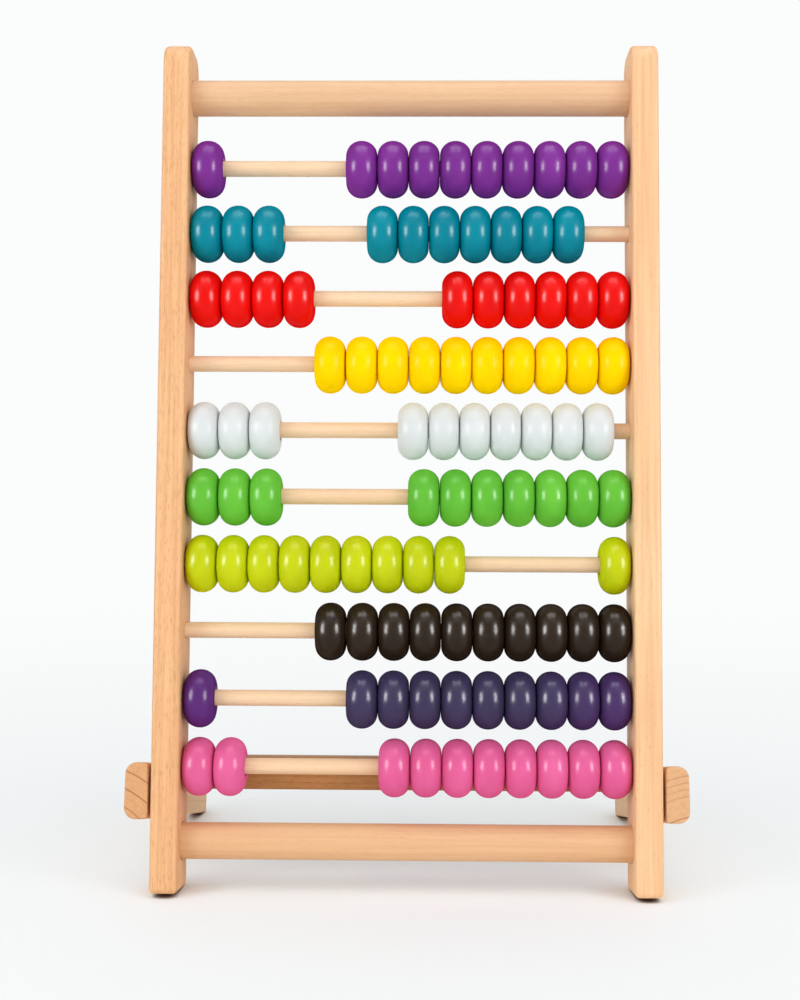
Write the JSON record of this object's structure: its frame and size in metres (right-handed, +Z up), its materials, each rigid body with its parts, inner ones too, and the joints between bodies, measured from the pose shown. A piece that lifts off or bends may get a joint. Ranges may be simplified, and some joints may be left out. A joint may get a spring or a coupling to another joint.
{
  "type": "vertical abacus",
  "caption": "Upright wooden counting frame: painted beads slide on rods between leaning uprights joined by round rails, with a rear stand.",
  "frame": {"origin": "bottom centre of the whole object, on the floor between the uprights' feet and the legs' rear ends", "axes": "+Z up; +X to the right as seen from the front, along the rods; +Y from the front to the back, towards the legs"},
  "size_m": [0.2414, 0.1796, 0.3729],
  "materials": {
    "beech": "satin",
    "pale_beech": "satin",
    "brown_beech": "satin",
    "steel": "satin",
    "brass": "satin",
    "purple_paint": "gloss",
    "teal_paint": "gloss",
    "red_paint": "gloss",
    "yellow_paint": "gloss",
    "white_paint": "gloss",
    "green_paint": "gloss",
    "lime_paint": "gloss",
    "black_paint": "gloss",
    "navy_paint": "gloss",
    "navy_left_paint": "gloss",
    "pink_paint": "gloss"
  },
  "bodies": {
    "frame": {"left_upright": "beech", "left_leg": "beech", "left_leg_bolt": "steel", "left_leg_washer": "steel", "left_leg_insert": "brass", "right_upright": "beech", "right_leg": "beech", "right_leg_bolt": "steel", "right_leg_washer": "steel", "right_leg_insert": "brass", "top_rail": "beech", "bottom_rail": "beech", "crossbar": "brown_beech", "purple_rod": "pale_beech", "teal_rod": "pale_beech", "red_rod": "pale_beech", "yellow_rod": "pale_beech", "white_rod": "pale_beech", "green_rod": "pale_beech", "lime_rod": "pale_beech", "black_rod": "pale_beech", "navy_rod": "pale_beech", "pink_rod": "pale_beech"},
    "purple_left": {"purple_left_bead_1": "purple_paint"},
    "purple_right": {"purple_right_beads": "purple_paint"},
    "teal_left": {"teal_left_bead_1": "teal_paint", "teal_left_bead_2": "teal_paint", "teal_left_bead_3": "teal_paint"},
    "teal_right": {"teal_right_beads": "teal_paint"},
    "red_left": {"red_left_bead_1": "red_paint", "red_left_bead_2": "red_paint", "red_left_bead_3": "red_paint", "red_left_bead_4": "red_paint"},
    "red_right": {"red_right_beads": "red_paint"},
    "yellow_right": {"yellow_right_beads": "yellow_paint"},
    "yellow_next": {"yellow_next_bead_1": "yellow_paint"},
    "white_left": {"white_left_bead_1": "white_paint", "white_left_bead_2": "white_paint", "white_left_bead_3": "white_paint"},
    "white_right": {"white_right_beads": "white_paint"},
    "green_left": {"green_left_bead_1": "green_paint", "green_left_bead_2": "green_paint", "green_left_bead_3": "green_paint"},
    "green_right": {"green_right_beads": "green_paint"},
    "lime_left": {"lime_left_beads": "lime_paint"},
    "lime_right": {"lime_right_bead_1": "lime_paint"},
    "black_right": {"black_right_beads": "black_paint"},
    "black_next": {"black_next_bead_1": "black_paint"},
    "navy_left": {"navy_left_bead_1": "navy_left_paint"},
    "navy_right": {"navy_right_beads": "navy_paint"},
    "pink_left": {"pink_left_bead_1": "pink_paint", "pink_left_bead_2": "pink_paint"},
    "pink_right": {"pink_right_beads": "pink_paint"}
  },
  "joints": [
    {"name": "purple_left_slide", "type": "slide", "parent": "frame", "child": "purple_left", "axis": [1, 0, 0], "range_m": [0, 0.0547]},
    {"name": "purple_right_slide", "type": "slide", "parent": "frame", "child": "purple_right", "axis": [1, 0, 0], "range_m": [-0.0547, 0]},
    {"name": "teal_left_slide", "type": "slide", "parent": "frame", "child": "teal_left", "axis": [1, 0, 0], "range_m": [0, 0.0368]},
    {"name": "teal_right_slide", "type": "slide", "parent": "frame", "child": "teal_right", "axis": [1, 0, 0], "range_m": [-0.0368, 0.0197]},
    {"name": "red_left_slide", "type": "slide", "parent": "frame", "child": "red_left", "axis": [1, 0, 0], "range_m": [0, 0.0565]},
    {"name": "red_right_slide", "type": "slide", "parent": "frame", "child": "red_right", "axis": [1, 0, 0], "range_m": [-0.0565, 0]},
    {"name": "yellow_right_slide", "type": "slide", "parent": "frame", "child": "yellow_right", "axis": [-1, 0, 0], "range_m": [0, 0.0555]},
    {"name": "yellow_next_slide", "type": "slide", "parent": "yellow_right", "child": "yellow_next", "axis": [1, 0, 0], "range_m": [-0.0555, 0]},
    {"name": "white_left_slide", "type": "slide", "parent": "frame", "child": "white_left", "axis": [1, 0, 0], "range_m": [0, 0.0517]},
    {"name": "white_right_slide", "type": "slide", "parent": "frame", "child": "white_right", "axis": [1, 0, 0], "range_m": [-0.0517, 0.007]},
    {"name": "green_left_slide", "type": "slide", "parent": "frame", "child": "green_left", "axis": [1, 0, 0], "range_m": [0, 0.0554]},
    {"name": "green_right_slide", "type": "slide", "parent": "frame", "child": "green_right", "axis": [1, 0, 0], "range_m": [-0.0554, 0]},
    {"name": "lime_left_slide", "type": "slide", "parent": "frame", "child": "lime_left", "axis": [1, 0, 0], "range_m": [0, 0.0585]},
    {"name": "lime_right_slide", "type": "slide", "parent": "frame", "child": "lime_right", "axis": [1, 0, 0], "range_m": [-0.0585, 0]},
    {"name": "black_right_slide", "type": "slide", "parent": "frame", "child": "black_right", "axis": [-1, 0, 0], "range_m": [0, 0.0569]},
    {"name": "black_next_slide", "type": "slide", "parent": "black_right", "child": "black_next", "axis": [1, 0, 0], "range_m": [-0.0569, 0]},
    {"name": "navy_left_slide", "type": "slide", "parent": "frame", "child": "navy_left", "axis": [1, 0, 0], "range_m": [0, 0.0569]},
    {"name": "navy_right_slide", "type": "slide", "parent": "frame", "child": "navy_right", "axis": [1, 0, 0], "range_m": [-0.0569, 0]},
    {"name": "pink_left_slide", "type": "slide", "parent": "frame", "child": "pink_left", "axis": [1, 0, 0], "range_m": [0, 0.0577]},
    {"name": "pink_right_slide", "type": "slide", "parent": "frame", "child": "pink_right", "axis": [1, 0, 0], "range_m": [-0.0577, 0]}
  ]
}
